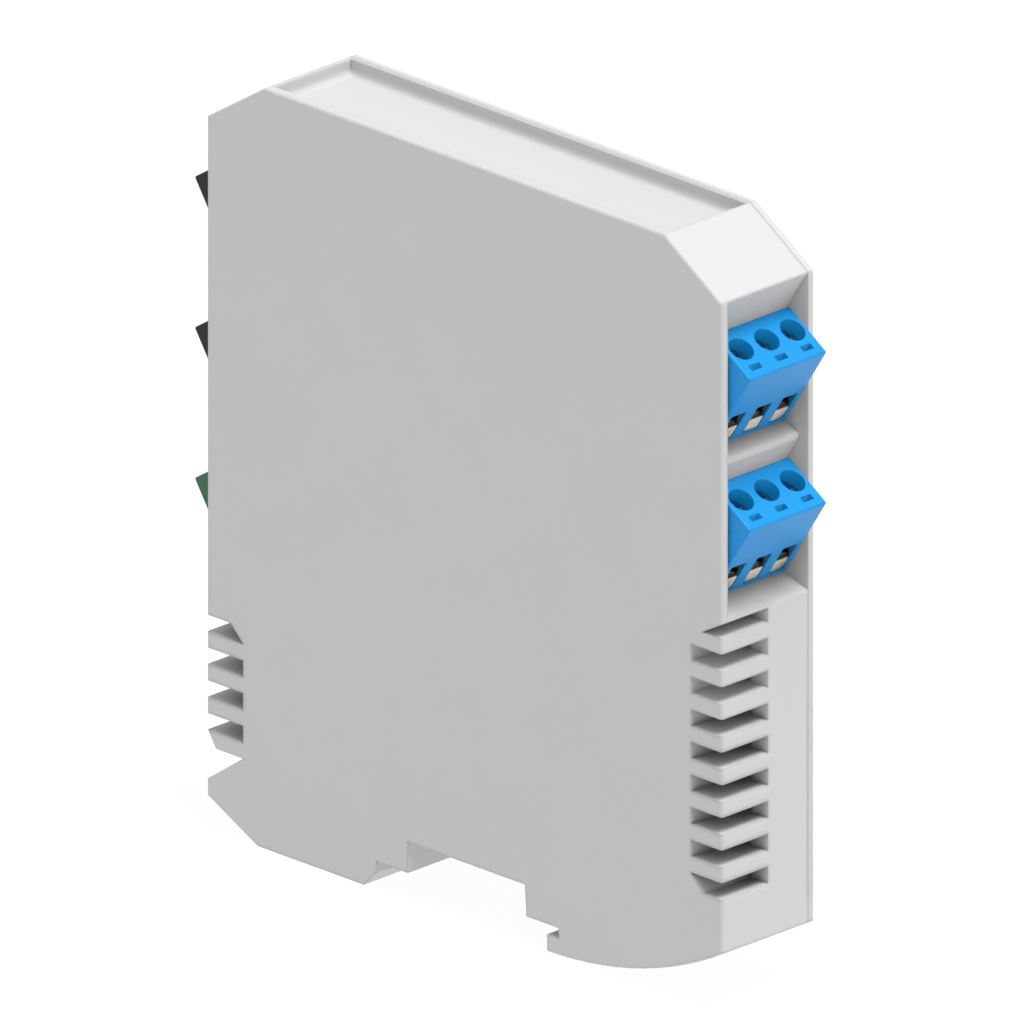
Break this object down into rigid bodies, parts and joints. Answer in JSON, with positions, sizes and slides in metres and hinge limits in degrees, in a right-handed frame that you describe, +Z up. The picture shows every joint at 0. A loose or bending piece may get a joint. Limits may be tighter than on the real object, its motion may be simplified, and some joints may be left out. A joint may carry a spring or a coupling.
{
  "type": "signal isolator",
  "caption": "Slim rail-mounted signal isolator: pale moulded housing with angled pull-off screw terminal plugs on both ends, vents, a label tray and a sprung rail latch.",
  "frame": {"origin": "middle of the base, halfway between the tips of the front and rear plugs", "axes": "+X from the rear plugs to the front plugs, +Y from the moulding's flat side to the side cover, +Z up away from the rail"},
  "size_m": [0.1072, 0.018, 0.112],
  "materials": {
    "housing_grey": "moulded light grey, fine matt texture",
    "latch_grey": "moulded light grey",
    "plug_blue": "moulded bright blue",
    "plug_black": "moulded black",
    "plug_green": "moulded green",
    "screw_steel": "zinc plated",
    "clamp_steel": "nickel plated",
    "contact_brass": "tinned",
    "header_black": "moulded black",
    "tinned_metal": "tinned",
    "board_green": "solder resist",
    "ferrite": "sintered",
    "winding_tape": "tape over copper winding",
    "can_metal": "drawn can",
    "chip_black": "moulded epoxy",
    "fuse_ceramic": "ceramic with plated ends"
  },
  "bodies": {
    "housing": {"housing_body": "housing_grey", "side_cover": "housing_grey", "circuit_board": "board_green", "header_pins": "tinned_metal", "transformer_core": "ferrite", "transformer_winding": "winding_tape", "primary_capacitor": "can_metal", "secondary_capacitor": "can_metal", "isolation_amplifier": "chip_black", "optocoupler": "chip_black", "microcontroller": "chip_black", "power_inductor": "ferrite", "supply_fuse": "fuse_ceramic", "front_upper_header": "header_black", "front_lower_header": "header_black", "rear_upper_header": "header_black", "rear_middle_header": "header_black", "rear_lower_header": "header_black"},
    "latch": {"rail_latch": "latch_grey"},
    "front_upper": {"front_upper_plug": "plug_blue", "front_upper_contacts": "contact_brass"},
    "front_upper_screw_1": {"front_upper_screw_1": "screw_steel"},
    "front_upper_clamp_1": {"front_upper_clamp_1": "clamp_steel"},
    "front_upper_screw_2": {"front_upper_screw_2": "screw_steel"},
    "front_upper_clamp_2": {"front_upper_clamp_2": "clamp_steel"},
    "front_upper_screw_3": {"front_upper_screw_3": "screw_steel"},
    "front_upper_clamp_3": {"front_upper_clamp_3": "clamp_steel"},
    "front_lower": {"front_lower_plug": "plug_blue", "front_lower_contacts": "contact_brass"},
    "front_lower_screw_1": {"front_lower_screw_1": "screw_steel"},
    "front_lower_clamp_1": {"front_lower_clamp_1": "clamp_steel"},
    "front_lower_screw_2": {"front_lower_screw_2": "screw_steel"},
    "front_lower_clamp_2": {"front_lower_clamp_2": "clamp_steel"},
    "front_lower_screw_3": {"front_lower_screw_3": "screw_steel"},
    "front_lower_clamp_3": {"front_lower_clamp_3": "clamp_steel"},
    "rear_upper": {"rear_upper_plug": "plug_black", "rear_upper_contacts": "contact_brass"},
    "rear_upper_screw_1": {"rear_upper_screw_1": "screw_steel"},
    "rear_upper_clamp_1": {"rear_upper_clamp_1": "clamp_steel"},
    "rear_upper_screw_2": {"rear_upper_screw_2": "screw_steel"},
    "rear_upper_clamp_2": {"rear_upper_clamp_2": "clamp_steel"},
    "rear_upper_screw_3": {"rear_upper_screw_3": "screw_steel"},
    "rear_upper_clamp_3": {"rear_upper_clamp_3": "clamp_steel"},
    "rear_middle": {"rear_middle_plug": "plug_black", "rear_middle_contacts": "contact_brass"},
    "rear_middle_screw_1": {"rear_middle_screw_1": "screw_steel"},
    "rear_middle_clamp_1": {"rear_middle_clamp_1": "clamp_steel"},
    "rear_middle_screw_2": {"rear_middle_screw_2": "screw_steel"},
    "rear_middle_clamp_2": {"rear_middle_clamp_2": "clamp_steel"},
    "rear_middle_screw_3": {"rear_middle_screw_3": "screw_steel"},
    "rear_middle_clamp_3": {"rear_middle_clamp_3": "clamp_steel"},
    "rear_lower": {"rear_lower_plug": "plug_green", "rear_lower_contacts": "contact_brass"},
    "rear_lower_screw_1": {"rear_lower_screw_1": "screw_steel"},
    "rear_lower_clamp_1": {"rear_lower_clamp_1": "clamp_steel"},
    "rear_lower_screw_2": {"rear_lower_screw_2": "screw_steel"},
    "rear_lower_clamp_2": {"rear_lower_clamp_2": "clamp_steel"},
    "rear_lower_screw_3": {"rear_lower_screw_3": "screw_steel"},
    "rear_lower_clamp_3": {"rear_lower_clamp_3": "clamp_steel"}
  },
  "joints": [
    {"name": "latch_release", "type": "slide", "parent": "housing", "child": "latch", "axis": [-1, 0, 0], "range_m": [0, 0.0025], "stiffness_N_per_m": 400},
    {"name": "front_upper_pull", "type": "slide", "parent": "housing", "child": "front_upper", "axis": [0.5446, 0, 0.8387], "range_m": [0, 0.022]},
    {"name": "front_upper_screw_1_turn", "type": "hinge", "parent": "front_upper", "child": "front_upper_screw_1", "pos_m": [0.0482, 0.005, 0.09501], "axis": [0.5446, 0, 0.8387], "range_deg": [-1800, 0]},
    {"name": "front_upper_clamp_1_rise", "type": "slide", "parent": "front_upper", "child": "front_upper_clamp_1", "axis": [0.5446, 0, 0.8387], "range_m": [0, 0.0025]},
    {"name": "front_upper_screw_2_turn", "type": "hinge", "parent": "front_upper", "child": "front_upper_screw_2", "pos_m": [0.0482, 0, 0.09501], "axis": [0.5446, 0, 0.8387], "range_deg": [-1800, 0]},
    {"name": "front_upper_clamp_2_rise", "type": "slide", "parent": "front_upper", "child": "front_upper_clamp_2", "axis": [0.5446, 0, 0.8387], "range_m": [0, 0.0025]},
    {"name": "front_upper_screw_3_turn", "type": "hinge", "parent": "front_upper", "child": "front_upper_screw_3", "pos_m": [0.0482, -0.005, 0.09501], "axis": [0.5446, 0, 0.8387], "range_deg": [-1800, 0]},
    {"name": "front_upper_clamp_3_rise", "type": "slide", "parent": "front_upper", "child": "front_upper_clamp_3", "axis": [0.5446, 0, 0.8387], "range_m": [0, 0.0025]},
    {"name": "front_lower_pull", "type": "slide", "parent": "housing", "child": "front_lower", "axis": [0.5446, 0, 0.8387], "range_m": [0, 0.022]},
    {"name": "front_lower_screw_1_turn", "type": "hinge", "parent": "front_lower", "child": "front_lower_screw_1", "pos_m": [0.0482, 0.005, 0.07281], "axis": [0.5446, 0, 0.8387], "range_deg": [-1800, 0]},
    {"name": "front_lower_clamp_1_rise", "type": "slide", "parent": "front_lower", "child": "front_lower_clamp_1", "axis": [0.5446, 0, 0.8387], "range_m": [0, 0.0025]},
    {"name": "front_lower_screw_2_turn", "type": "hinge", "parent": "front_lower", "child": "front_lower_screw_2", "pos_m": [0.0482, 0, 0.07281], "axis": [0.5446, 0, 0.8387], "range_deg": [-1800, 0]},
    {"name": "front_lower_clamp_2_rise", "type": "slide", "parent": "front_lower", "child": "front_lower_clamp_2", "axis": [0.5446, 0, 0.8387], "range_m": [0, 0.0025]},
    {"name": "front_lower_screw_3_turn", "type": "hinge", "parent": "front_lower", "child": "front_lower_screw_3", "pos_m": [0.0482, -0.005, 0.07281], "axis": [0.5446, 0, 0.8387], "range_deg": [-1800, 0]},
    {"name": "front_lower_clamp_3_rise", "type": "slide", "parent": "front_lower", "child": "front_lower_clamp_3", "axis": [0.5446, 0, 0.8387], "range_m": [0, 0.0025]},
    {"name": "rear_upper_pull", "type": "slide", "parent": "housing", "child": "rear_upper", "axis": [-0.5446, 0, 0.8387], "range_m": [0, 0.022]},
    {"name": "rear_upper_screw_1_turn", "type": "hinge", "parent": "rear_upper", "child": "rear_upper_screw_1", "pos_m": [-0.0482, -0.005, 0.09501], "axis": [-0.5446, 0, 0.8387], "range_deg": [-1800, 0]},
    {"name": "rear_upper_clamp_1_rise", "type": "slide", "parent": "rear_upper", "child": "rear_upper_clamp_1", "axis": [-0.5446, 0, 0.8387], "range_m": [0, 0.0025]},
    {"name": "rear_upper_screw_2_turn", "type": "hinge", "parent": "rear_upper", "child": "rear_upper_screw_2", "pos_m": [-0.0482, 0, 0.09501], "axis": [-0.5446, 0, 0.8387], "range_deg": [-1800, 0]},
    {"name": "rear_upper_clamp_2_rise", "type": "slide", "parent": "rear_upper", "child": "rear_upper_clamp_2", "axis": [-0.5446, 0, 0.8387], "range_m": [0, 0.0025]},
    {"name": "rear_upper_screw_3_turn", "type": "hinge", "parent": "rear_upper", "child": "rear_upper_screw_3", "pos_m": [-0.0482, 0.005, 0.09501], "axis": [-0.5446, 0, 0.8387], "range_deg": [-1800, 0]},
    {"name": "rear_upper_clamp_3_rise", "type": "slide", "parent": "rear_upper", "child": "rear_upper_clamp_3", "axis": [-0.5446, 0, 0.8387], "range_m": [0, 0.0025]},
    {"name": "rear_middle_pull", "type": "slide", "parent": "housing", "child": "rear_middle", "axis": [-0.5446, 0, 0.8387], "range_m": [0, 0.022]},
    {"name": "rear_middle_screw_1_turn", "type": "hinge", "parent": "rear_middle", "child": "rear_middle_screw_1", "pos_m": [-0.0482, -0.005, 0.07281], "axis": [-0.5446, 0, 0.8387], "range_deg": [-1800, 0]},
    {"name": "rear_middle_clamp_1_rise", "type": "slide", "parent": "rear_middle", "child": "rear_middle_clamp_1", "axis": [-0.5446, 0, 0.8387], "range_m": [0, 0.0025]},
    {"name": "rear_middle_screw_2_turn", "type": "hinge", "parent": "rear_middle", "child": "rear_middle_screw_2", "pos_m": [-0.0482, 0, 0.07281], "axis": [-0.5446, 0, 0.8387], "range_deg": [-1800, 0]},
    {"name": "rear_middle_clamp_2_rise", "type": "slide", "parent": "rear_middle", "child": "rear_middle_clamp_2", "axis": [-0.5446, 0, 0.8387], "range_m": [0, 0.0025]},
    {"name": "rear_middle_screw_3_turn", "type": "hinge", "parent": "rear_middle", "child": "rear_middle_screw_3", "pos_m": [-0.0482, 0.005, 0.07281], "axis": [-0.5446, 0, 0.8387], "range_deg": [-1800, 0]},
    {"name": "rear_middle_clamp_3_rise", "type": "slide", "parent": "rear_middle", "child": "rear_middle_clamp_3", "axis": [-0.5446, 0, 0.8387], "range_m": [0, 0.0025]},
    {"name": "rear_lower_pull", "type": "slide", "parent": "housing", "child": "rear_lower", "axis": [-0.5446, 0, 0.8387], "range_m": [0, 0.022]},
    {"name": "rear_lower_screw_1_turn", "type": "hinge", "parent": "rear_lower", "child": "rear_lower_screw_1", "pos_m": [-0.0482, -0.005, 0.05061], "axis": [-0.5446, 0, 0.8387], "range_deg": [-1800, 0]},
    {"name": "rear_lower_clamp_1_rise", "type": "slide", "parent": "rear_lower", "child": "rear_lower_clamp_1", "axis": [-0.5446, 0, 0.8387], "range_m": [0, 0.0025]},
    {"name": "rear_lower_screw_2_turn", "type": "hinge", "parent": "rear_lower", "child": "rear_lower_screw_2", "pos_m": [-0.0482, 0, 0.05061], "axis": [-0.5446, 0, 0.8387], "range_deg": [-1800, 0]},
    {"name": "rear_lower_clamp_2_rise", "type": "slide", "parent": "rear_lower", "child": "rear_lower_clamp_2", "axis": [-0.5446, 0, 0.8387], "range_m": [0, 0.0025]},
    {"name": "rear_lower_screw_3_turn", "type": "hinge", "parent": "rear_lower", "child": "rear_lower_screw_3", "pos_m": [-0.0482, 0.005, 0.05061], "axis": [-0.5446, 0, 0.8387], "range_deg": [-1800, 0]},
    {"name": "rear_lower_clamp_3_rise", "type": "slide", "parent": "rear_lower", "child": "rear_lower_clamp_3", "axis": [-0.5446, 0, 0.8387], "range_m": [0, 0.0025]}
  ],
  "couplings": [
    {"joint": "front_upper_screw_1_turn", "follows": "front_upper_clamp_1_rise", "rad_per_m": -12566},
    {"joint": "front_upper_screw_2_turn", "follows": "front_upper_clamp_2_rise", "rad_per_m": -12566},
    {"joint": "front_upper_screw_3_turn", "follows": "front_upper_clamp_3_rise", "rad_per_m": -12566},
    {"joint": "front_lower_screw_1_turn", "follows": "front_lower_clamp_1_rise", "rad_per_m": -12566},
    {"joint": "front_lower_screw_2_turn", "follows": "front_lower_clamp_2_rise", "rad_per_m": -12566},
    {"joint": "front_lower_screw_3_turn", "follows": "front_lower_clamp_3_rise", "rad_per_m": -12566},
    {"joint": "rear_upper_screw_1_turn", "follows": "rear_upper_clamp_1_rise", "rad_per_m": -12566},
    {"joint": "rear_upper_screw_2_turn", "follows": "rear_upper_clamp_2_rise", "rad_per_m": -12566},
    {"joint": "rear_upper_screw_3_turn", "follows": "rear_upper_clamp_3_rise", "rad_per_m": -12566},
    {"joint": "rear_middle_screw_1_turn", "follows": "rear_middle_clamp_1_rise", "rad_per_m": -12566},
    {"joint": "rear_middle_screw_2_turn", "follows": "rear_middle_clamp_2_rise", "rad_per_m": -12566},
    {"joint": "rear_middle_screw_3_turn", "follows": "rear_middle_clamp_3_rise", "rad_per_m": -12566},
    {"joint": "rear_lower_screw_1_turn", "follows": "rear_lower_clamp_1_rise", "rad_per_m": -12566},
    {"joint": "rear_lower_screw_2_turn", "follows": "rear_lower_clamp_2_rise", "rad_per_m": -12566},
    {"joint": "rear_lower_screw_3_turn", "follows": "rear_lower_clamp_3_rise", "rad_per_m": -12566}
  ]
}
